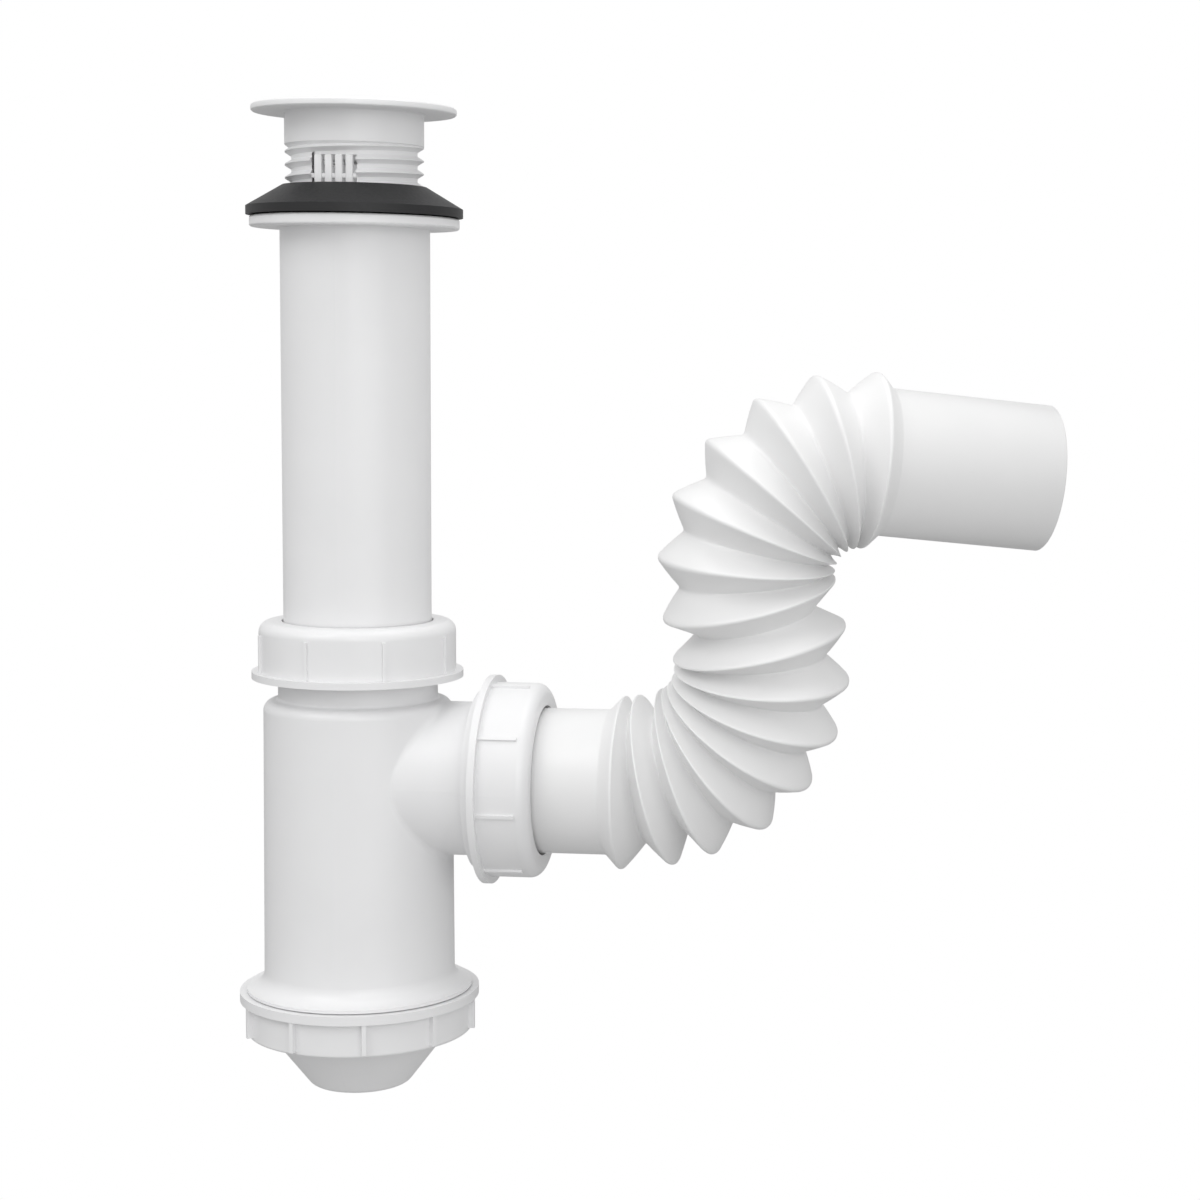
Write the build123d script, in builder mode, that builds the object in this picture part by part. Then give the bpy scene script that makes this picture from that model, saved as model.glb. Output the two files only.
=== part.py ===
from build123d import *
from math import cos, radians, sin, sqrt, tan
import os

os.makedirs("parts", exist_ok=True)

# Wash-basin bottle trap with a flexible bellows outlet, in millimetres.
# The origin is on the valve's axis at the underside of its flange, where the basin lies.
# +Z is up, +X points from the bottle to its side outlet, and -Y is the front.
# A depth is measured down from the origin.

# Clearances
thread_gap = 0.05  # radial, between a male and a female thread
seat_gap = 0.1  # between faces that a nut squeezes together
ring_gap = 0.1  # radial, between a seal and the tube it grips
slide_gap = 0.25  # radial, round a plain tube in its socket
rest_gap = 0.3  # between pieces that only meet when tight

# Waste valve
valve_flange_od = 55.0
valve_flange_thick = 1.9
valve_flange_edge = 0.8
valve_collar_od = 37.4
valve_collar_length = 8.9
valve_thread_od = 37.2
valve_length = 45.0
valve_bore = 30.0
plug_seat_od = 42.0
plug_seat_depth = 1.4
strainer_depth = 10.0
strainer_bar = 2.6
strainer_height = 3.0
strainer_boss_od = 12.0
window_top = 13.5
window_height = 9.6
window_arc = 33.8
window_middle = -15.7  # degrees from the front towards the outlet
window_bars = 3
window_bar_width = 1.1
window_rail_height = 0.9

# Sealing washer under the basin
washer_top_depth = 19.4
washer_top_od = 38.8
washer_od = 58.2
washer_height = 8.1
washer_rim = 2.3

# Down tube
tube_od = 40.3
tube_bore = 36.5
tube_flange_od = 56.3
tube_flange_thick = 3.0
tube_flange_edge = 0.7
tube_thread_length = 36.0  # the stretch that takes the valve's tail
tube_end_rise = 5.0  # from the bottle's foot up to the end of the tube
tube_over = 0.3  # how much wider the tube is than the size that its nut is made for

# Trap body
mouth_depth = 143.0
bottle_top_od = 51.5
bottle_foot_od = 52.5
bottle_wall = 2.0
shoulder_drop = 16.8  # below the mouth
shoulder_radius = 2.8
neck_over = 3.6  # how much wider the neck is than its nut's size
neck_fillet = 0.8
thread_over = 9.2  # the same for the thread of the neck and of the outlet
neck_thread_length = 10.2
mouth_cone_width = 2.8
mouth_cone_depth = 3.0
bottle_length = 98.0  # from the mouth to the foot's flare
foot_flare_od = 62.0
foot_flare_radius = 4.6
foot_flare_edge = 0.8
foot_thread_od = 57.9
foot_thread_length = 6.6
outlet_drop = 38.5  # below the mouth
outlet_over = 2.5  # how much wider the outlet is than the pipe
outlet_reach = 34.3  # from the bottle's axis to its thread
outlet_thread_length = 13.2
outlet_saddle_fillet = 2.0

# Compression nut, the same at the neck and at the outlet; each width is over the size that it is made for
nut_height = 15.7
nut_over = 13.7
nut_flange_over = 17.7
nut_flange_thick = 1.9
nut_plate = 2.2
nut_hole_over = 1.4
nut_shoulder_radius = 3.0
nut_ribs = 8
nut_rib_width = 0.9
nut_rib_rise = 0.7
nut_rib_length = 10.4
nut_over_mouth = 5.1  # from a mouth to the outside of the nut's plate
neck_nut_rib_angle = -15.0
outlet_nut_rib_angle = 11.5

# Tapered seal of each compression nut
seal_over = 7.8
seal_lip = 0.35
seal_cone_depth = 2.5

# Foot ring nut, gasket and cup
foot_nut_height = 12.0
foot_nut_rim_od = 65.9
foot_nut_rim_thick = 2.5
foot_nut_od = 62.1
foot_nut_lip = 2.5
foot_nut_hole = 51.0
foot_nut_edge = 0.8
foot_ribs = 10
foot_rib_width = 1.2
foot_rib_rise = 1.6
foot_rib_length = 8.4
foot_rib_angle = -19.0
gasket_thick = 1.4
gasket_bore = 49.6
cup_flange_thick = 1.5
cup_wall = 2.0
cup_floor_od = 27.0
cup_depth = 15.2  # below the foot nut
cup_floor_radius = 3.0

# Flexible pipe
pipe_od = 40.0
pipe_wall = 1.3
stub_start = 29.0
first_ridge = 74.6
ridge_od = 47.7
ridge_flat = 1.0
end_flank = 4.0
fold_flank = 9.7  # length of a flank, which stays the same however the bellows bend
fold_wall = 1.0
first_bend_lean = 9.0  # degrees that the first bend leans to the front
first_bend_turns = (14, 6, 18, 17, 15.5, 15, 16, 1.5)
first_bend_pitch = 9.2
straight_pitch = 12.4
second_bend_steps = 6
second_bend_pitch = 9.55
spigot_azimuth = 18.0
spigot_fall = 5.6
spigot_length = 45.7

# Places worked out from the sizes above
front = (0, -1, 0)
tube_top = washer_top_depth + washer_height + rest_gap
shoulder_depth = mouth_depth + shoulder_drop
outlet_depth = mouth_depth + outlet_drop
foot_depth = mouth_depth + bottle_length
tube_length = foot_depth - tube_end_rise - tube_top
neck_size = tube_od - tube_over
neck_od = neck_size + neck_over
neck_thread_od = neck_size + thread_over
outlet_od = pipe_od + outlet_over
outlet_thread_od = pipe_od + thread_over
neck_bore = tube_od + 2 * slide_gap
outlet_bore = pipe_od + 2 * slide_gap
neck_nut_depth = mouth_depth - nut_over_mouth + nut_height
outlet_mouth = outlet_reach + outlet_thread_length
outlet_nut_x = outlet_mouth + nut_over_mouth - nut_height
foot_nut_top = foot_depth + rest_gap
foot_nut_bottom = foot_nut_top + foot_nut_height
cup_flange_bottom = foot_nut_bottom - foot_nut_lip - seat_gap
cup_flange_top = cup_flange_bottom - cup_flange_thick
foot_end = foot_depth + foot_thread_length


def turned(place):
    """The plane of a turned profile: its x is the radius and its y runs along the place's axis."""
    return Plane(place.origin, x_dir=place.x_dir, z_dir=-place.y_dir)


def ring(outer, inner):
    """An annulus in the sketch that is open."""
    Circle(outer / 2)
    Circle(inner / 2, mode=Mode.SUBTRACT)


# Waste valve: flange with a plug seat, collar, tail, strainer cross and two overflow windows
valve_axis = Plane((0, 0, 0), x_dir=front, z_dir=(0, 0, 1))
with BuildPart() as valve_body:
    with BuildSketch(turned(valve_axis)):
        with BuildLine():
            Polyline(
                (valve_bore / 2, valve_flange_thick - plug_seat_depth),
                (plug_seat_od / 2, valve_flange_thick),
                (valve_flange_od / 2 - valve_flange_edge, valve_flange_thick),
                (valve_flange_od / 2, valve_flange_thick - valve_flange_edge),
                (valve_flange_od / 2, 0),
                (valve_collar_od / 2, 0),
                (valve_collar_od / 2, -valve_collar_length),
                (valve_thread_od / 2, -valve_collar_length),
                (valve_thread_od / 2, -valve_length),
                (valve_bore / 2, -valve_length),
                close=True,
            )
        make_face()
    revolve(axis=Axis.Z)
    with BuildSketch(valve_axis.offset(-strainer_depth)):
        with Locations(Rot(Z=45)):
            Rectangle(valve_bore + valve_flange_thick, strainer_bar)
            Rectangle(strainer_bar, valve_bore + valve_flange_thick)
        Circle(strainer_boss_od / 2)
    extrude(amount=-strainer_height)
    window_step = window_arc / (window_bars + 1)
    rail_top = window_top + (window_height - window_rail_height) / 2
    for side in (0, 180):
        for row_top, row_foot in (
            (window_top, rail_top),
            (rail_top + window_rail_height, window_top + window_height),
        ):
            with BuildSketch(valve_axis.offset(-row_top)):
                for gap in range(window_bars + 1):
                    middle = side + window_middle + (gap - window_bars / 2) * window_step
                    with Locations(Rot(Z=middle)):
                        with Locations((valve_thread_od / 2, 0)):
                            Rectangle(
                                valve_thread_od - valve_bore,
                                valve_thread_od / 2 * radians(window_step) - window_bar_width,
                            )
            extrude(amount=row_top - row_foot, mode=Mode.SUBTRACT)
valve_body.part.label = "valve_body"
export_step(valve_body.part, "parts/valve_body.step")

# Sealing washer: a rubber cone that runs free on the tail's thread
washer_foot = washer_top_depth + washer_height
with BuildPart() as sealing_washer:
    with BuildSketch(turned(valve_axis)):
        with BuildLine():
            Polyline(
                (valve_collar_od / 2 + thread_gap, -washer_top_depth),
                (washer_top_od / 2, -washer_top_depth),
                (washer_od / 2, washer_rim - washer_foot),
                (washer_od / 2, -washer_foot),
                (valve_collar_od / 2 + thread_gap, -washer_foot),
                close=True,
            )
        make_face()
    revolve(axis=Axis.Z)
sealing_washer.part.label = "sealing_washer"
export_step(sealing_washer.part, "parts/sealing_washer.step")

# Down tube: flange, threaded socket for the tail and the plain tube that dips into the bottle
with BuildPart() as down_tube:
    with BuildSketch(valve_axis.offset(-tube_top)):
        Circle(tube_flange_od / 2)
    extrude(amount=-tube_flange_thick)
    fillet(down_tube.edges(), tube_flange_edge)
    with BuildSketch(valve_axis.offset(-tube_top)):
        Circle(tube_od / 2)
    extrude(amount=-tube_length)
    with BuildSketch(valve_axis.offset(-tube_top)):
        Circle(valve_collar_od / 2 + thread_gap)
    extrude(amount=-tube_thread_length, mode=Mode.SUBTRACT)
    with BuildSketch(valve_axis.offset(-tube_top - tube_thread_length)):
        Circle(tube_bore / 2)
    extrude(amount=tube_thread_length - tube_length, mode=Mode.SUBTRACT)
down_tube.part.label = "down_tube"
export_step(down_tube.part, "parts/down_tube.step")

# Trap body: bottle with a threaded neck, a side outlet and a flared, threaded foot
outlet_axis = Plane((0, 0, -outlet_depth), x_dir=front, z_dir=(1, 0, 0))
with BuildPart() as trap_body:
    with BuildSketch(turned(valve_axis)):
        with BuildLine():
            Polyline(
                (0, -mouth_depth),
                (neck_thread_od / 2, -mouth_depth),
                (neck_thread_od / 2, -mouth_depth - neck_thread_length),
                (neck_od / 2, -mouth_depth - neck_thread_length),
                (neck_od / 2, -shoulder_depth),
                (bottle_top_od / 2, -shoulder_depth),
                (bottle_foot_od / 2, foot_flare_edge - foot_depth),
                (foot_flare_od / 2, foot_flare_edge - foot_depth),
                (foot_flare_od / 2, -foot_depth),
                (foot_thread_od / 2, -foot_depth),
                (foot_thread_od / 2, -foot_end),
                (0, -foot_end),
                close=True,
            )
        make_face()
    revolve(axis=Axis.Z)
    for corner_od, corner_depth, blend in (
        (bottle_foot_od, foot_depth - foot_flare_edge, foot_flare_radius),
        (bottle_top_od, shoulder_depth, shoulder_radius),
        (neck_od, shoulder_depth, neck_fillet),
    ):
        rounds = trap_body.edges().filter_by(GeomType.CIRCLE)
        fillet(rounds.sort_by_distance((0, -corner_od / 2, -corner_depth))[0], blend)
    with BuildSketch(outlet_axis):
        Circle(outlet_od / 2)
    extrude(amount=outlet_reach + outlet_thread_length)
    saddle = trap_body.edges().filter_by(GeomType.BSPLINE).sort_by(Axis.X)
    fillet(saddle, outlet_saddle_fillet)
    with BuildSketch(outlet_axis.offset(outlet_reach)):
        Circle(outlet_thread_od / 2)
    extrude(amount=outlet_thread_length)
    with BuildSketch(turned(valve_axis)):
        with BuildLine():
            Polyline(
                (0, -mouth_depth),
                (neck_bore / 2 + mouth_cone_width, -mouth_depth),
                (neck_bore / 2, -mouth_depth - mouth_cone_depth),
                (neck_bore / 2, -shoulder_depth),
                (bottle_top_od / 2 - bottle_wall, -shoulder_depth - shoulder_radius),
                (bottle_foot_od / 2 - bottle_wall, -foot_depth),
                (bottle_foot_od / 2 - bottle_wall, -foot_end),
                (0, -foot_end),
                close=True,
            )
        make_face()
    revolve(axis=Axis.Z, mode=Mode.SUBTRACT)
    with BuildSketch(turned(outlet_axis)):
        with BuildLine():
            Polyline(
                (0, 0),
                (outlet_bore / 2, 0),
                (outlet_bore / 2, outlet_mouth - mouth_cone_depth),
                (outlet_bore / 2 + mouth_cone_width, outlet_mouth),
                (0, outlet_mouth),
                close=True,
            )
        make_face()
    revolve(axis=Axis(outlet_axis.origin, outlet_axis.z_dir), mode=Mode.SUBTRACT)
trap_body.part.label = "trap_body"
export_step(trap_body.part, "parts/trap_body.step")

# Compression nuts, each with its tapered seal, at the neck and at the outlet
neck_nut_place = Plane((0, 0, -neck_nut_depth), x_dir=front, z_dir=(0, 0, 1))
outlet_nut_place = Plane((outlet_nut_x, 0, -outlet_depth), x_dir=front, z_dir=(1, 0, 0))
seal_height = nut_over_mouth - nut_plate - 2 * seat_gap
for name, place, rib_angle, gripped_od, size in (
    ("upper", neck_nut_place, neck_nut_rib_angle, tube_od, neck_size),
    ("outlet", outlet_nut_place, outlet_nut_rib_angle, pipe_od, pipe_od),
):
    nut_od = size + nut_over
    with BuildPart() as nut:
        with BuildSketch(place):
            Circle(nut_od / 2)
        extrude(amount=nut_height)
        plate = nut.faces().sort_by(Axis(place.origin, place.z_dir))[-1]
        fillet(plate.edges(), nut_shoulder_radius)
        with BuildSketch(place.offset(nut_flange_thick)):
            with PolarLocations(nut_od / 2, nut_ribs, start_angle=rib_angle):
                Rectangle(2 * nut_rib_rise, nut_rib_width)
        extrude(amount=nut_rib_length)
        with BuildSketch(place):
            Circle((size + nut_flange_over) / 2)
        extrude(amount=nut_flange_thick)
        with BuildSketch(place):
            Circle((size + thread_over) / 2 + thread_gap)
        extrude(amount=nut_height - nut_plate, mode=Mode.SUBTRACT)
        with BuildSketch(place):
            Circle((size + nut_hole_over) / 2)
        extrude(amount=nut_height, mode=Mode.SUBTRACT)
    nut.part.label = f"{name}_nut"
    export_step(nut.part, f"parts/{name}_nut.step")

    seal_foot = nut_height - nut_plate - seat_gap - seal_height
    seal_od = size + seal_over
    seal_bore = gripped_od / 2 + ring_gap
    with BuildPart() as seal:
        with BuildSketch(turned(place)):
            with BuildLine():
                Polyline(
                    (seal_bore, seal_foot + seal_height),
                    (seal_od / 2, seal_foot + seal_height),
                    (seal_od / 2, seal_foot),
                    (gripped_od / 2 + slide_gap + mouth_cone_width - ring_gap, seal_foot),
                    (seal_bore + seal_lip, seal_foot - seal_cone_depth),
                    (seal_bore, seal_foot - seal_cone_depth),
                    close=True,
                )
            make_face()
        revolve(axis=Axis(place.origin, place.z_dir))
    seal.part.label = f"{name}_seal"
    export_step(seal.part, f"parts/{name}_seal.step")

# Foot ring nut: rim, ribbed band and the lip that carries the cup
foot_nut_place = Plane((0, 0, -foot_nut_bottom), x_dir=front, z_dir=(0, 0, 1))
with BuildPart() as bottom_nut:
    with BuildSketch(foot_nut_place):
        Circle(foot_nut_od / 2)
    extrude(amount=foot_nut_height)
    fillet(bottom_nut.faces().sort_by(Axis.Z)[0].edges(), foot_nut_edge)
    with BuildSketch(foot_nut_place.offset(foot_nut_height - foot_nut_rim_thick)):
        with PolarLocations(foot_nut_od / 2, foot_ribs, start_angle=foot_rib_angle):
            Rectangle(2 * foot_rib_rise, foot_rib_width)
    extrude(amount=-foot_rib_length)
    with BuildSketch(foot_nut_place.offset(foot_nut_height)):
        Circle(foot_nut_rim_od / 2)
    extrude(amount=-foot_nut_rim_thick)
    with BuildSketch(foot_nut_place.offset(foot_nut_height)):
        Circle(foot_thread_od / 2 + thread_gap)
    extrude(amount=foot_nut_lip - foot_nut_height, mode=Mode.SUBTRACT)
    with BuildSketch(foot_nut_place):
        Circle(foot_nut_hole / 2)
    extrude(amount=foot_nut_height, mode=Mode.SUBTRACT)
bottom_nut.part.label = "bottom_nut"
export_step(bottom_nut.part, "parts/bottom_nut.step")

# Gasket between the bottle's foot and the cup
with BuildPart() as bottom_gasket:
    with BuildSketch(valve_axis.offset(-foot_end - seat_gap)):
        ring(foot_thread_od - 2 * rest_gap, gasket_bore)
    extrude(amount=-gasket_thick)
bottom_gasket.part.label = "bottom_gasket"
export_step(bottom_gasket.part, "parts/bottom_gasket.step")

# Cup: flange clamped by the foot nut, tapered wall and a flat floor
cup_neck_od = foot_nut_hole - 2 * rest_gap
cup_foot = foot_nut_bottom + cup_depth
with BuildPart() as bottom_cup:
    with BuildSketch(turned(valve_axis)):
        with BuildLine():
            Polyline(
                (cup_neck_od / 2 - cup_wall, -cup_flange_top),
                (foot_thread_od / 2 - rest_gap, -cup_flange_top),
                (foot_thread_od / 2 - rest_gap, -cup_flange_bottom),
                (cup_neck_od / 2, -cup_flange_bottom),
                (cup_neck_od / 2, -foot_nut_bottom),
                (cup_floor_od / 2, -cup_foot),
                (0, -cup_foot),
                (0, cup_wall - cup_foot),
                (cup_floor_od / 2 - cup_wall / 2, cup_wall - cup_foot),
                (cup_neck_od / 2 - cup_wall, -foot_nut_bottom),
                close=True,
            )
        make_face()
    revolve(axis=Axis.Z)
    fillet(bottom_cup.faces().sort_by(Axis.Z)[0].edges(), cup_floor_radius)
bottom_cup.part.label = "bottom_cup"
export_step(bottom_cup.part, "parts/bottom_cup.step")

# Centreline of the bellows: a plane at each ridge and one at each valley between two ridges
lean = radians(first_bend_lean)
ridge_plane = Plane((first_ridge, 0, -outlet_depth), x_dir=(0, 0, 1), z_dir=(1, 0, 0))
first_axis = Vector(1, 0, 0).cross(Vector(0, -sin(lean), cos(lean)))
rise = ridge_plane.z_dir.rotate(Axis((0, 0, 0), first_axis), sum(first_bend_turns))
azimuth, fall = radians(spigot_azimuth), radians(spigot_fall)
spigot_dir = Vector(cos(fall) * cos(azimuth), cos(fall) * sin(azimuth), -sin(fall))
second_axis = rise.cross(spigot_dir)
second_turn = rise.get_angle(spigot_dir) / second_bend_steps
first_steps = [(first_axis, turn, first_bend_pitch) for turn in first_bend_turns[:-1]]
straight_step = [(first_axis, first_bend_turns[-1], straight_pitch)]
second_steps = [(second_axis, second_turn, second_bend_pitch)] * second_bend_steps
steps = first_steps + straight_step + second_steps
ridge_planes, valleys = [ridge_plane], []
for axis, turn, pitch in steps:
    hinge = Axis((0, 0, 0), axis)
    last = ridge_planes[-1]
    along = last.z_dir.rotate(hinge, turn / 2)
    spread = (ridge_od - fold_flank) / 2 * tan(radians(turn / 2))
    outside_depth = sqrt(fold_flank**2 - (pitch / 2 + spread) ** 2)
    inside_depth = sqrt(fold_flank**2 - (pitch / 2 - spread) ** 2)
    radius = (ridge_od - outside_depth - inside_depth) / 2
    outwards = along.cross(axis).normalized() * (inside_depth - outside_depth) / 2
    centre = last.origin + along * (pitch / 2) + outwards
    valleys.append((Plane(centre, x_dir=last.x_dir.rotate(hinge, turn / 2), z_dir=along), radius))
    ridge_planes.append(
        Plane(
            last.origin + along * pitch,
            x_dir=last.x_dir.rotate(hinge, turn),
            z_dir=last.z_dir.rotate(hinge, turn),
        )
    )

# Flexible pipe: plain stub, bellows with a thin folded wall, and plain spigot, blown in one piece
stub_end = ridge_planes[0].offset(-end_flank)
spigot_start = ridge_planes[-1].offset(end_flank)
stub_length = first_ridge - end_flank - stub_start
with BuildPart() as flexible_pipe:
    with BuildSketch(stub_end):
        Circle(pipe_od / 2)
    for plane, valley in zip(ridge_planes, valleys + [None]):
        for shift in (-ridge_flat / 2, ridge_flat / 2):
            with BuildSketch(plane.offset(shift)):
                Circle(ridge_od / 2)
        if valley:
            with BuildSketch(valley[0]):
                Circle(valley[1])
    with BuildSketch(spigot_start):
        Circle(pipe_od / 2)
    loft(ruled=True)
    with BuildSketch(stub_end):
        Circle(pipe_od / 2)
    extrude(amount=-stub_length)
    with BuildSketch(spigot_start):
        Circle(pipe_od / 2)
    extrude(amount=spigot_length)
    with BuildSketch(stub_end):
        Circle(pipe_od / 2 - pipe_wall)
    for plane, valley in zip(ridge_planes, valleys + [None]):
        with BuildSketch(plane):
            Circle(ridge_od / 2 - fold_wall)
        if valley:
            with BuildSketch(valley[0]):
                Circle(valley[1] - fold_wall)
    with BuildSketch(spigot_start):
        Circle(pipe_od / 2 - pipe_wall)
    loft(ruled=True, mode=Mode.SUBTRACT)
    with BuildSketch(stub_end):
        Circle(pipe_od / 2 - pipe_wall)
    extrude(amount=-stub_length, mode=Mode.SUBTRACT)
    with BuildSketch(spigot_start):
        Circle(pipe_od / 2 - pipe_wall)
    extrude(amount=spigot_length, mode=Mode.SUBTRACT)
flexible_pipe.part.label = "flexible_pipe"
export_step(flexible_pipe.part, "parts/flexible_pipe.step")
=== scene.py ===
import bpy
from math import cos, pi, radians, sin, sqrt, tan
from mathutils import Matrix, Vector


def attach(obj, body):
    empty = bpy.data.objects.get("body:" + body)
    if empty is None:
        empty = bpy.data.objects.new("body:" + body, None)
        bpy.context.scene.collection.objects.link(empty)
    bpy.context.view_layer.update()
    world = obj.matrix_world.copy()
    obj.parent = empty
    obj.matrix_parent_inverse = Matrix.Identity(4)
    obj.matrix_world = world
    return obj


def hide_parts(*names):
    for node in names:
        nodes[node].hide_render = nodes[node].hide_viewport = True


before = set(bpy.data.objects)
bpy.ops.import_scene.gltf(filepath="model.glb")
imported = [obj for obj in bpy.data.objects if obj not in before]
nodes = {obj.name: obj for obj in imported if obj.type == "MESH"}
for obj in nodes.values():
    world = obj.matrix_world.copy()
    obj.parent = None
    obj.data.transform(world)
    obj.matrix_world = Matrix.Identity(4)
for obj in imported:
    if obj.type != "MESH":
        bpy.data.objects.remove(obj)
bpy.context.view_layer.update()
mm = 0.001  # the pieces are given in millimetres, the room and the camera in metres
mergeGap = 0.00001  # points nearer than this become one
print("frame loaded:", len(nodes), "nodes")


def deselectAll():
    if bpy.context.object and bpy.context.object.mode != "OBJECT":
        bpy.ops.object.mode_set(mode="OBJECT")
    bpy.ops.object.select_all(action="DESELECT")


def pickAlone(piece):
    deselectAll()
    bpy.context.view_layer.objects.active = piece
    piece.select_set(True)


# Shader group: the faint ripple, grain and tone of a moulded surface

surfaceSet = {
    "rippleDetail": 3.0, "grainDetail": 6.0, "bumpDepth": 0.0004,
    "grainShare": 0.12,  # how much of the grain joins the ripple in the height
}
surfaceInputs = (
    ("Vector", "NodeSocketVector", None),
    ("Colour", "NodeSocketColor", (0.8, 0.8, 0.8, 1)), ("Shade", "NodeSocketColor", (0.7, 0.7, 0.7, 1)),
    ("Rough Low", "NodeSocketFloat", 0.2), ("Rough High", "NodeSocketFloat", 0.4),
    ("Grain", "NodeSocketFloat", 900.0), ("Ripple", "NodeSocketFloat", 50.0),
)
surfaceOutputs = (
    ("Colour", "NodeSocketColor"), ("Roughness", "NodeSocketFloat"), ("Height", "NodeSocketFloat"),
)


def mouldedSurface(values):
    group = bpy.data.node_groups.new("mouldedSurface", "ShaderNodeTree")
    for name, kind, usual in surfaceInputs:
        socket = group.interface.new_socket(name=name, in_out="INPUT", socket_type=kind)
        if usual is not None:
            socket.default_value = usual
    for name, kind in surfaceOutputs:
        group.interface.new_socket(name=name, in_out="OUTPUT", socket_type=kind)
    made, link = group.nodes, group.links.new
    entry, leave = made.new("NodeGroupInput"), made.new("NodeGroupOutput")
    ripple, grain = made.new("ShaderNodeTexNoise"), made.new("ShaderNodeTexNoise")
    ripple.inputs["Detail"].default_value = values["rippleDetail"]
    grain.inputs["Detail"].default_value = values["grainDetail"]
    tone = made.new("ShaderNodeMix")
    tone.data_type = "RGBA"
    rough = made.new("ShaderNodeMapRange")
    height = made.new("ShaderNodeMath")
    height.operation = "MULTIPLY_ADD"
    height.inputs[1].default_value = values["grainShare"]
    link(entry.outputs["Vector"], ripple.inputs["Vector"])
    link(entry.outputs["Vector"], grain.inputs["Vector"])
    link(entry.outputs["Ripple"], ripple.inputs["Scale"])
    link(entry.outputs["Grain"], grain.inputs["Scale"])
    link(ripple.outputs["Fac"], tone.inputs["Factor"])
    link(entry.outputs["Colour"], tone.inputs["A"])
    link(entry.outputs["Shade"], tone.inputs["B"])
    link(grain.outputs["Fac"], rough.inputs["Value"])
    link(entry.outputs["Rough Low"], rough.inputs["To Min"])
    link(entry.outputs["Rough High"], rough.inputs["To Max"])
    link(grain.outputs["Fac"], height.inputs[0])
    link(ripple.outputs["Fac"], height.inputs[2])
    link(tone.outputs["Result"], leave.inputs["Colour"])
    link(rough.outputs["Result"], leave.inputs["Roughness"])
    link(height.outputs["Value"], leave.inputs["Height"])
    return group


mouldedGroup = mouldedSurface(surfaceSet)

# Finishes: grain and ripple are in waves per metre

plasticSet = {
    "colour": (0.86, 0.86, 0.865), "shade": (0.80, 0.80, 0.805), "roughLow": 0.29, "roughHigh": 0.35,
    "grain": 600.0, "ripple": 40.0, "bump": 0.010, "ior": 1.49,
}
pipeSet = {
    "colour": (0.87, 0.87, 0.87), "shade": (0.81, 0.81, 0.81), "roughLow": 0.26, "roughHigh": 0.40,
    "grain": 500.0, "ripple": 36.0, "bump": 0.012, "ior": 1.49,
}
rubberSet = {
    "colour": (0.013, 0.013, 0.014), "shade": (0.022, 0.022, 0.023), "roughLow": 0.42, "roughHigh": 0.60,
    "grain": 1300.0, "ripple": 90.0, "bump": 0.05, "ior": 1.43,
}
sealSet = {
    "colour": (0.70, 0.70, 0.66), "shade": (0.62, 0.62, 0.58), "roughLow": 0.45, "roughHigh": 0.62,
    "grain": 900.0, "ripple": 60.0, "bump": 0.10, "ior": 1.50,
}


def mouldedMaterial(name, values):
    material = bpy.data.materials.new(name)
    material.use_nodes = True
    made, link = material.node_tree.nodes, material.node_tree.links.new
    shader = made["Principled BSDF"]
    place, surface = made.new("ShaderNodeTexCoord"), made.new("ShaderNodeGroup")
    bump = made.new("ShaderNodeBump")
    surface.node_tree = mouldedGroup
    surface.inputs["Colour"].default_value = (*values["colour"], 1)
    surface.inputs["Shade"].default_value = (*values["shade"], 1)
    surface.inputs["Rough Low"].default_value = values["roughLow"]
    surface.inputs["Rough High"].default_value = values["roughHigh"]
    surface.inputs["Grain"].default_value = values["grain"]
    surface.inputs["Ripple"].default_value = values["ripple"]
    bump.inputs["Strength"].default_value = values["bump"]
    bump.inputs["Distance"].default_value = surfaceSet["bumpDepth"]
    shader.inputs["IOR"].default_value = values["ior"]
    link(place.outputs["Object"], surface.inputs["Vector"])
    link(surface.outputs["Colour"], shader.inputs["Base Color"])
    link(surface.outputs["Roughness"], shader.inputs["Roughness"])
    link(surface.outputs["Height"], bump.inputs["Height"])
    link(bump.outputs["Normal"], shader.inputs["Normal"])
    return material


whitePlastic = mouldedMaterial("whitePlastic", plasticSet)
pipePlastic = mouldedMaterial("pipePlastic", pipeSet)
blackRubber = mouldedMaterial("blackRubber", rubberSet)
palePlastic = mouldedMaterial("palePlastic", sealSet)
finishes = {
    "sealing_washer": blackRubber, "flexible_pipe": pipePlastic,
    "upper_seal": palePlastic, "outlet_seal": palePlastic, "bottom_gasket": palePlastic,
}
for nodeName, node in nodes.items():
    node.data.materials.clear()
    node.data.materials.append(finishes.get(nodeName, whitePlastic))
print("finishes made")


# Modelling helpers: a closed outline is drawn point by point and spun round an axis


def drawProfile(name, points):
    deselectAll()
    bpy.ops.mesh.primitive_plane_add(size=mm, location=(0, 0, 0))
    piece = bpy.context.object
    piece.name = name
    bpy.ops.object.mode_set(mode="EDIT")
    bpy.ops.mesh.select_all(action="SELECT")
    bpy.ops.mesh.merge(type="CENTER")
    bpy.ops.transform.translate(value=Vector(points[0]) * mm)
    for last, point in zip(points, points[1:] + points[:1]):
        step = (Vector(point) - Vector(last)) * mm
        bpy.ops.mesh.extrude_region_move(TRANSFORM_OT_translate={"value": step})
    bpy.ops.mesh.select_all(action="SELECT")
    bpy.ops.mesh.remove_doubles(threshold=mergeGap)
    bpy.ops.object.mode_set(mode="OBJECT")
    return piece


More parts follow.
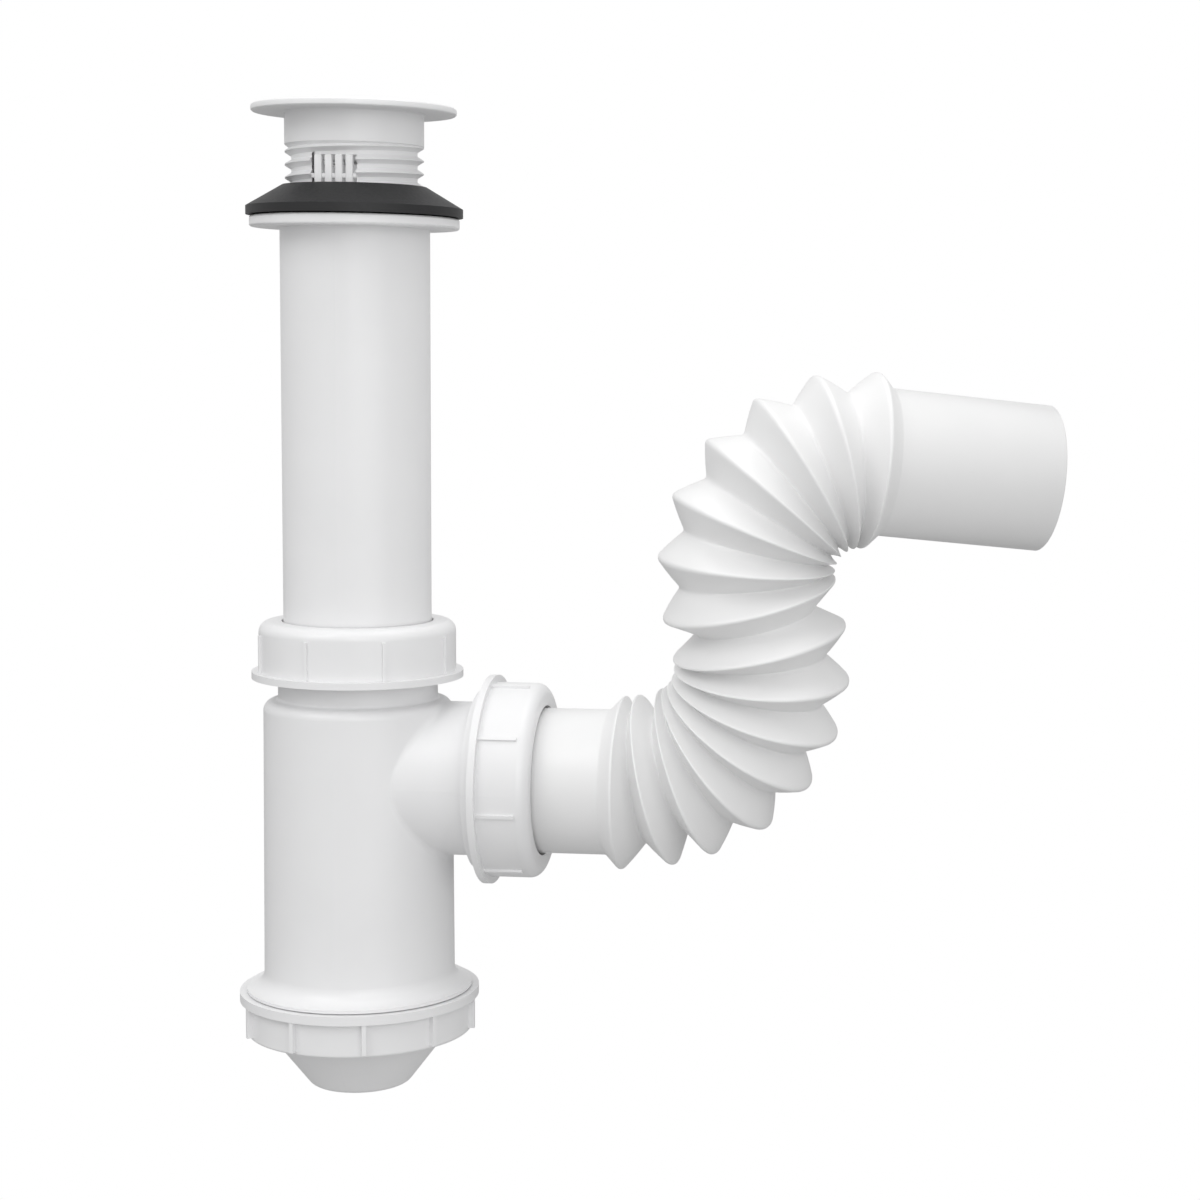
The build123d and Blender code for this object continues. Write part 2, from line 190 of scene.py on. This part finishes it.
def spinRound(piece, axis, steps):
    pickAlone(piece)
    bpy.ops.object.mode_set(mode="EDIT")
    bpy.ops.mesh.select_all(action="SELECT")
    bpy.ops.mesh.spin(steps=steps, angle=2 * pi, center=(0, 0, 0), axis=axis)
    bpy.ops.mesh.select_all(action="SELECT")
    bpy.ops.mesh.remove_doubles(threshold=mergeGap)
    bpy.ops.mesh.normals_make_consistent(inside=False)
    bpy.ops.object.mode_set(mode="OBJECT")


def applyModifier(piece, kind, **settings):
    pickAlone(piece)
    modifier = piece.modifiers.new(kind.lower(), kind)
    for key, value in settings.items():
        setattr(modifier, key, value)
    bpy.ops.object.modifier_apply(modifier=modifier.name)


def softenEdges(piece, width, angle=30):
    applyModifier(
        piece, "BEVEL", width=width * mm, segments=2, limit_method="ANGLE", angle_limit=radians(angle)
    )


def smoothFaces(piece, angle):
    pickAlone(piece)
    bpy.ops.object.shade_smooth_by_angle(angle=radians(angle))


def joinPieces(main, others):
    deselectAll()
    for other in others:
        other.select_set(True)
    main.select_set(True)
    bpy.context.view_layer.objects.active = main
    bpy.ops.object.join()


def giveFinish(piece, material, angle):
    piece.data.materials.clear()
    piece.data.materials.append(material)
    smoothFaces(piece, angle)


def makeBlock(name, size, place, turn):
    deselectAll()
    bpy.ops.mesh.primitive_cube_add(size=1, location=(0, 0, 0))
    block = bpy.context.object
    block.name = name
    bpy.ops.object.mode_set(mode="EDIT")
    bpy.ops.mesh.select_all(action="SELECT")
    bpy.ops.transform.resize(value=Vector(size) * mm)
    bpy.ops.transform.translate(value=Vector(place) * mm)
    bpy.ops.object.mode_set(mode="OBJECT")
    block.data.transform(Matrix.Rotation(turn, 4, "Z"))
    return block


def cutWith(piece, cutter):
    applyModifier(piece, "BOOLEAN", operation="DIFFERENCE", object=cutter, solver="EXACT")


# Waste valve: it has the screw thread that the CAD solid's plain tail lacks, and its windows are placed anew

valveSet = {
    "bore": 15.0, "boreEdge": 0.2, "seatRadius": 21.0, "seatDepth": 1.4, "length": 45.0,
    "flangeRadius": 27.5, "flangeThick": 1.9,
    # the flange's rounded rim, each point in from the radius: first down from the top, then up from the foot
    "rimTop": ((0.55, 0.0), (0.12, 0.35)), "rimFoot": ((0.0, 0.9), (0.1, 0.3), (0.45, 0.0)),
    "collarRadius": 18.65, "collarLength": 8.9, "collarFillet": 0.4, "collarEdge": (0.3, 0.35),
    "collarSlope": 1.1, "rootRadius": 16.85, "tailEdge": (0.5, 0.6), "spinSteps": 128,
    "edge": 0.25, "edgeAngle": 50, "smoothAngle": 35,
    "thread": {
        "crestRadius": 18.58, "pitch": 3.5, "crestWidth": 0.3, "top": 8.1, "turns": 10, "start": 90,
        "sunk": 0.4, "halfGap": 0.25, "steps": 96, "mergeGap": 0.000005,
    },
    "window": {
        "top": 12.1, "height": 11.0, "arc": 39.0, "middle": -3.5, "backTurn": 195,
        "cutDepth": 8.0, "cutRadius": 17.6,
        "bars": 4, "barWidth": 1.9, "barDeep": 1.6, "barOut": 0.3, "barEdge": 0.2,
        "railHeight": 1.2, "railThinner": 0.5, "railIn": 0.2, "railEdge": 0.15,
    },
    "strainer": {
        "depth": 10.0, "height": 3.0, "barWidth": 2.6, "barTurns": (45, 135), "barSunk": 0.5, "barEdge": 0.4,
        "bossRadius": 6.0, "bossSides": 48, "bossEdge": 0.5,
    },
}


def turnValve(v):
    rim, top, foot = v["flangeRadius"], v["flangeThick"], -v["length"]
    collarEnd = -v["collarLength"]
    edgeIn, edgeUp = v["collarEdge"]
    tailIn, tailUp = v["tailEdge"]
    outline = [(v["bore"], top - v["seatDepth"]), (v["seatRadius"], top)]
    outline += [(rim - inwards, top - down) for inwards, down in v["rimTop"]]
    outline += [(rim - inwards, up) for inwards, up in v["rimFoot"]]
    outline += [(v["collarRadius"] + v["collarFillet"], 0), (v["collarRadius"], -v["collarFillet"])]
    outline += [(v["collarRadius"], edgeUp + collarEnd), (v["collarRadius"] - edgeIn, collarEnd)]
    outline += [(v["rootRadius"], collarEnd - v["collarSlope"]), (v["rootRadius"], tailUp + foot)]
    outline += [(v["rootRadius"] - tailIn, foot), (v["bore"] + v["boreEdge"], foot)]
    outline.append((v["bore"], v["boreEdge"] + foot))
    valve = drawProfile("waste_valve", [(radius, 0, height) for radius, height in outline])
    spinRound(valve, (0, 0, 1), v["spinSteps"])
    return valve


def makeThread(v, rootRadius):
    root, crest = rootRadius - v["sunk"], v["crestRadius"]
    rootHalf, crestHalf = v["pitch"] / 2 - v["halfGap"], v["crestWidth"] / 2
    ridge = [(root, rootHalf), (crest, crestHalf), (crest, -crestHalf), (root, -rootHalf)]
    foot = -v["top"] - v["turns"] * v["pitch"]
    thread = drawProfile("valve_thread", [(radius, 0, foot + height) for radius, height in ridge])
    thread.data.transform(Matrix.Rotation(radians(v["start"]), 4, "Z"))
    applyModifier(
        thread, "SCREW", axis="Z", angle=2 * pi, screw_offset=v["pitch"] * mm, iterations=v["turns"],
        steps=v["steps"], render_steps=v["steps"], use_merge_vertices=True, merge_threshold=v["mergeGap"],
    )
    bpy.ops.object.mode_set(mode="EDIT")
    bpy.ops.mesh.select_all(action="DESELECT")
    bpy.ops.mesh.select_non_manifold(use_multi_face=False, use_non_contiguous=False, use_verts=False)
    bpy.ops.mesh.edge_face_add()
    bpy.ops.mesh.select_all(action="SELECT")
    bpy.ops.mesh.normals_make_consistent(inside=False)
    bpy.ops.object.mode_set(mode="OBJECT")
    return thread


def makeWindow(v, turn, walls, collarRadius, rootRadius):
    wide = 2 * collarRadius * sin(radians(v["arc"] / 2))
    middle = -(v["top"] + v["height"] / 2)
    cutter = makeBlock("windowCutter", (wide, v["cutDepth"], v["height"]), (0, -v["cutRadius"], middle), turn)
    for wall in walls:
        cutWith(wall, cutter)
    bpy.data.objects.remove(cutter)
    barPlace = -(rootRadius - v["barDeep"] / 2 + v["barOut"])
    gap = (wide - v["bars"] * v["barWidth"]) / (v["bars"] + 1)
    grid = []
    for number in range(v["bars"]):
        across = (number + 1) * gap + (number + 0.5) * v["barWidth"] - wide / 2
        size = (v["barWidth"], v["barDeep"], v["height"])
        bar = makeBlock("windowBar", size, (across, barPlace, middle), turn)
        softenEdges(bar, v["barEdge"])
        grid.append(bar)
    size = (wide, v["barDeep"] - v["railThinner"], v["railHeight"])
    rail = makeBlock("windowRail", size, (0, barPlace + v["railIn"], middle), turn)
    softenEdges(rail, v["railEdge"])
    return grid + [rail]


def makeStrainer(v, bore):
    middle = -(v["depth"] + v["height"] / 2)
    cross = []
    for turn in v["barTurns"]:
        size = (2 * (bore + v["barSunk"]), v["barWidth"], v["height"])
        bar = makeBlock("strainerBar", size, (0, 0, middle), radians(turn))
        softenEdges(bar, v["barEdge"])
        cross.append(bar)
    bpy.ops.mesh.primitive_cylinder_add(
        vertices=v["bossSides"], radius=v["bossRadius"] * mm, depth=v["height"] * mm, location=(0, 0, 0)
    )
    boss = bpy.context.object
    boss.data.transform(Matrix.Translation((0, 0, middle * mm)))
    softenEdges(boss, v["bossEdge"])
    return cross + [boss]


def makeValve(v):
    valve = turnValve(v)
    thread = makeThread(v["thread"], v["rootRadius"])
    inside = []
    for side in (0, v["window"]["backTurn"]):
        turn = radians(v["window"]["middle"] + side)
        inside += makeWindow(v["window"], turn, (valve, thread), v["collarRadius"], v["rootRadius"])
    inside += makeStrainer(v["strainer"], v["bore"])
    softenEdges(valve, v["edge"], v["edgeAngle"])
    joinPieces(valve, [thread] + inside)
    giveFinish(valve, whitePlastic, v["smoothAngle"])
    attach(valve, "valve")
    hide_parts("valve_body")


makeValve(valveSet)
print("valve with thread and windows made")


# Flexible pipe: drawn straight, spun, and then bent fold by fold along the path of the CAD solid

pipeShape = {
    "stubStart": 29.0, "firstRidge": 74.6, "outletDepth": 181.5, "radius": 20.0, "wall": 1.3,
    "spigotLength": 45.7, "endRound": 0.3, "boreRound": 0.2, "endFlank": 4.0,
    # where a plain end meets the bellows: along and out from the flank's foot, then its tip's two points
    "flankFoot": ((-0.4, 0.0), (0.3, 0.35)), "tipBacks": (0.8, 0.35), "tipShare": 0.88, "tipInwards": 0.08,
    "ridgeRadius": 23.85, "foldWall": 1.0, "flank": 9.7,
    # the outside of half a fold as it is drawn: how far along to the valley, and how deep, both from 0 to 1
    "fold": (
        (0.0, 0.0), (0.05, 0.008), (0.10, 0.045), (0.16, 0.115), (0.35, 0.33),
        (0.60, 0.61), (0.82, 0.855), (0.92, 0.955), (1.0, 0.99),
    ),
    "drawnPitch": 10.0, "drawnDepth": 6.5, "spinSteps": 120, "smoothAngle": 50,
    # the first bend leans to the front and turns by these degrees from ridge to ridge
    "lean": 9.0, "turns": (14, 6, 18, 17, 15.5, 15, 16, 1.5), "pitch": 9.2, "straightPitch": 12.4,
    # the second bend leads into the spigot's direction
    "secondSteps": 6, "secondPitch": 9.55, "azimuth": 18.0, "fall": 5.6,
    # inside a tight bend the folds close: their depth there, and how it grows with the gap between ridges
    "closedDepth": 2.0, "closedPitch": 1.5, "openRate": 0.9,
}
alongPipe = Vector((1, 0, 0))


def pipeSteps(v):
    lean = radians(v["lean"])
    firstAxis = alongPipe.cross(Vector((0, -sin(lean), cos(lean))))
    rise = Matrix.Rotation(radians(sum(v["turns"])), 3, firstAxis) @ alongPipe
    azimuth, fall = radians(v["azimuth"]), radians(v["fall"])
    leave = Vector((cos(fall) * cos(azimuth), cos(fall) * sin(azimuth), -sin(fall)))
    secondAxis = rise.cross(leave).normalized()
    share = rise.angle(leave) / v["secondSteps"]
    steps = [(firstAxis, radians(turn), v["pitch"]) for turn in v["turns"][:-1]]
    steps.append((firstAxis, radians(v["turns"][-1]), v["straightPitch"]))
    return steps + [(secondAxis, share, v["secondPitch"])] * v["secondSteps"]


def ridgePlaces(v, steps):
    ridges = [(Vector((v["firstRidge"], 0, -v["outletDepth"])), Matrix.Identity(3))]
    for axis, turn, pitch in steps:
        place, heading = ridges[-1]
        along = Matrix.Rotation(turn / 2, 3, axis) @ (heading @ alongPipe)
        ridges.append((place + along * pitch, Matrix.Rotation(turn, 3, axis) @ heading))
    return ridges


def outerProfile(v, ridges):
    half, tip, deep = v["drawnPitch"] / 2, v["ridgeRadius"], v["drawnDepth"]
    stubEnd = v["firstRidge"] - v["endFlank"]
    lastRidge = v["firstRidge"] + (ridges - 1) * v["drawnPitch"]
    spigotStart = lastRidge + v["endFlank"]
    spigotEnd = spigotStart + v["spigotLength"]
    tipRadii = (v["radius"] + (tip - v["radius"]) * v["tipShare"], tip - v["tipInwards"])
    flankTip = list(zip(v["tipBacks"], tipRadii))
    outer = [(v["stubStart"], v["radius"] - v["endRound"]), (v["stubStart"] + v["endRound"], v["radius"])]
    outer += [(stubEnd + along, v["radius"] + out) for along, out in v["flankFoot"]]
    outer += [(v["firstRidge"] - back, radius) for back, radius in flankTip]
    for ridge in range(ridges):
        crest = v["firstRidge"] + ridge * v["drawnPitch"]
        if ridge:
            outer += [(crest - along * half, tip - down * deep) for along, down in v["fold"][-2:0:-1]]
        outer.append((crest, tip))
        if ridge < ridges - 1:
            outer += [(crest + along * half, tip - down * deep) for along, down in v["fold"][1:]]
    outer += [(lastRidge + back, radius) for back, radius in reversed(flankTip)]
    outer += [(spigotStart - along, v["radius"] + out) for along, out in reversed(v["flankFoot"])]
    return outer + [(spigotEnd - v["endRound"], v["radius"]), (spigotEnd, v["radius"] - v["endRound"])]


def innerProfile(v, ridges):
    bore, rounding = v["radius"] - v["wall"], v["boreRound"]
    stubEnd = v["firstRidge"] - v["endFlank"]
    spigotStart = v["firstRidge"] + (ridges - 1) * v["drawnPitch"] + v["endFlank"]
    spigotEnd = spigotStart + v["spigotLength"]
    inner = [(spigotEnd, bore + rounding), (spigotEnd - rounding, bore), (spigotStart, bore)]
    for ridge in reversed(range(ridges)):
        crest = v["firstRidge"] + ridge * v["drawnPitch"]
        inner.append((crest, v["ridgeRadius"] - v["foldWall"]))
        if ridge:
            valley = v["ridgeRadius"] - v["drawnDepth"] - v["foldWall"]
            inner.append((crest - v["drawnPitch"] / 2, valley))
    return inner + [(stubEnd, bore), (v["stubStart"] + rounding, bore), (v["stubStart"], bore + rounding)]


def foldDepth(v, turn, pitch, lean):
    # lean is 1 on the outside of the bend and -1 on its inside
    spread = (v["ridgeRadius"] - v["flank"] / 2) * tan(turn / 2)
    outside = sqrt(v["flank"] ** 2 - (pitch / 2 + spread) ** 2)
    inside = sqrt(v["flank"] ** 2 - (pitch / 2 - spread) ** 2)
    middle = (outside + inside) / 2
    ridgeGap = pitch - 2 * v["ridgeRadius"] * tan(turn / 2)
    closed = min(inside, v["closedDepth"] + v["openRate"] * max(0, ridgeGap - v["closedPitch"]))
    return middle + lean * (outside - closed) / 2 + lean ** 2 * ((outside + closed) / 2 - middle)


def bendPipe(piece, v):
    steps = pipeSteps(v)
    ridges = ridgePlaces(v, steps)
    for vertex in piece.data.vertices:
        x, y, z = vertex.co / mm
        station = (x - v["firstRidge"]) / v["drawnPitch"]
        if station <= 0 or station >= len(steps):
            number = 0 if station <= 0 else len(steps)
            place, heading = ridges[number]
            beyond = x - v["firstRidge"] - number * v["drawnPitch"]
            vertex.co = (place + heading @ Vector((beyond, y, z))) * mm
            continue
        number = min(int(station), len(steps) - 1)
        axis, turn, pitch = steps[number]
        place, heading = ridges[number]
        swung = turn * (station - number)
        along = heading @ alongPipe
        arc = pitch / (2 * sin(turn / 2))
        centre = place + arc * (sin(swung) * along + (1 - cos(swung)) * axis.cross(along))
        headingHere = Matrix.Rotation(swung, 3, axis) @ heading
        offset = headingHere @ Vector((0, y, z))
        outwards = -(axis.cross(headingHere @ alongPipe))
        depth = foldDepth(v, turn, pitch, offset.normalized().dot(outwards))
        drawn = offset.length
        radius = v["ridgeRadius"] - (v["ridgeRadius"] - drawn) * depth / v["drawnDepth"]
        vertex.co = (centre + offset * (radius / drawn)) * mm


def makePipe(v):
    ridges = len(v["turns"]) + v["secondSteps"] + 1
    outline = outerProfile(v, ridges) + innerProfile(v, ridges)
    pipe = drawProfile("flexible_pipe_skin", [(along, 0, radius) for along, radius in outline])
    spinRound(pipe, alongPipe, v["spinSteps"])
    bendPipe(pipe, v)
    giveFinish(pipe, pipePlastic, v["smoothAngle"])
    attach(pipe, "pipe")
    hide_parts("flexible_pipe")


makePipe(pipeShape)
print("flexible pipe made")


# Floor, backdrop, lamps and camera

roomSet = {
    "floorHeight": -0.62, "floorSize": 9.0, "floorGrey": 0.42, "floorRough": 0.8,
    "skyTop": 0.80, "skySide": 0.64, "skyFoot": 0.28, "horizon": 0.5, "white": 1.0,
}


def greyOf(level):
    return (level, level, level, 1)


def makeFloor(values):
    deselectAll()
    bpy.ops.mesh.primitive_plane_add(size=values["floorSize"], location=(0, 0, values["floorHeight"]))
    floor = bpy.context.object
    floor.name = "floor"
    material = bpy.data.materials.new("paleFloor")
    material.use_nodes = True
    made, link = material.node_tree.nodes, material.node_tree.links.new
    shader, glow = made["Principled BSDF"], made.new("ShaderNodeEmission")
    path, mix = made.new("ShaderNodeLightPath"), made.new("ShaderNodeMixShader")
    shader.inputs["Base Color"].default_value = greyOf(values["floorGrey"])
    shader.inputs["Roughness"].default_value = values["floorRough"]
    glow.inputs["Strength"].default_value = values["white"]
    link(path.outputs["Is Camera Ray"], mix.inputs["Fac"])
    link(shader.outputs["BSDF"], mix.inputs[1])
    link(glow.outputs["Emission"], mix.inputs[2])
    link(mix.outputs["Shader"], made["Material Output"].inputs["Surface"])
    floor.data.materials.append(material)


def makeSky(values):
    world = bpy.data.worlds.new("studio")
    bpy.context.scene.world = world
    world.use_nodes = True
    made, link = world.node_tree.nodes, world.node_tree.links.new
    shade, white = made["Background"], made.new("ShaderNodeBackground")
    path, mix = made.new("ShaderNodeLightPath"), made.new("ShaderNodeMixShader")
    way, split = made.new("ShaderNodeTexCoord"), made.new("ShaderNodeSeparateXYZ")
    rescale, ramp = made.new("ShaderNodeMapRange"), made.new("ShaderNodeValToRGB")
    rescale.inputs["From Min"].default_value = -1.0
    ramp.color_ramp.elements[0].color = greyOf(values["skyFoot"])
    ramp.color_ramp.elements[1].color = greyOf(values["skyTop"])
    ramp.color_ramp.elements.new(values["horizon"]).color = greyOf(values["skySide"])
    white.inputs["Color"].default_value = greyOf(values["white"])
    link(way.outputs["Generated"], split.inputs["Vector"])
    link(split.outputs["Z"], rescale.inputs["Value"])
    link(rescale.outputs["Result"], ramp.inputs["Fac"])
    link(ramp.outputs["Color"], shade.inputs["Color"])
    link(path.outputs["Is Camera Ray"], mix.inputs["Fac"])
    link(shade.outputs["Background"], mix.inputs[1])
    link(white.outputs["Background"], mix.inputs[2])
    link(mix.outputs["Shader"], made["World Output"].inputs["Surface"])


lampAim = (0.04, 0.0, -0.14)
lampSet = {
    "key": {"place": (-0.75, -0.95, 0.95), "size": (0.9, 0.9), "power": 5.5},
    "top": {"place": (0.15, 0.05, 1.2), "size": (1.1, 1.1), "power": 5.0},
    "front": {"place": (0.75, -1.05, 0.0), "size": (0.9, 0.9), "power": 2.8},
    "strip": {"place": (0.22, -1.0, 0.25), "size": (0.05, 0.7), "power": 1.1},
}


def makeLamp(name, values):
    light = bpy.data.lights.new(name, "AREA")
    light.energy = values["power"]
    light.shape = "RECTANGLE"
    light.size, light.size_y = values["size"]
    lamp = bpy.data.objects.new(name, light)
    bpy.context.scene.collection.objects.link(lamp)
    lamp.location = values["place"]
    lamp.rotation_euler = (Vector(lampAim) - Vector(values["place"])).to_track_quat("-Z", "Y").to_euler()


cameraSet = {
    "place": (0.18383, -0.65761, -0.05961), "yaw": 4.645, "pitchDown": 5.824, "roll": 0.721,
    "focalPixels": 2438.5, "shiftPixels": (-228.0, -10.25), "photoPixels": 1200, "sensor": 36.0,
}


def makeCamera(values):
    camera = bpy.data.cameras.new("photoView")
    camera.sensor_width = values["sensor"]
    camera.lens = values["focalPixels"] / values["photoPixels"] * values["sensor"]
    camera.shift_x, camera.shift_y = (pixels / values["photoPixels"] for pixels in values["shiftPixels"])
    holder = bpy.data.objects.new("photoView", camera)
    bpy.context.scene.collection.objects.link(holder)
    yaw = Matrix.Rotation(radians(values["yaw"]), 4, "Z")
    tilt = Matrix.Rotation(radians(90 - values["pitchDown"]), 4, "X")
    roll = Matrix.Rotation(radians(values["roll"]), 4, "Z")
    holder.matrix_world = Matrix.Translation(values["place"]) @ yaw @ tilt @ roll
    bpy.context.scene.camera = holder


makeFloor(roomSet)
makeSky(roomSet)
for lampName, lampValues in lampSet.items():
    makeLamp(lampName, lampValues)
makeCamera(cameraSet)
bpy.context.scene.view_settings.view_transform = "Standard"
print("room, lamps and camera set")
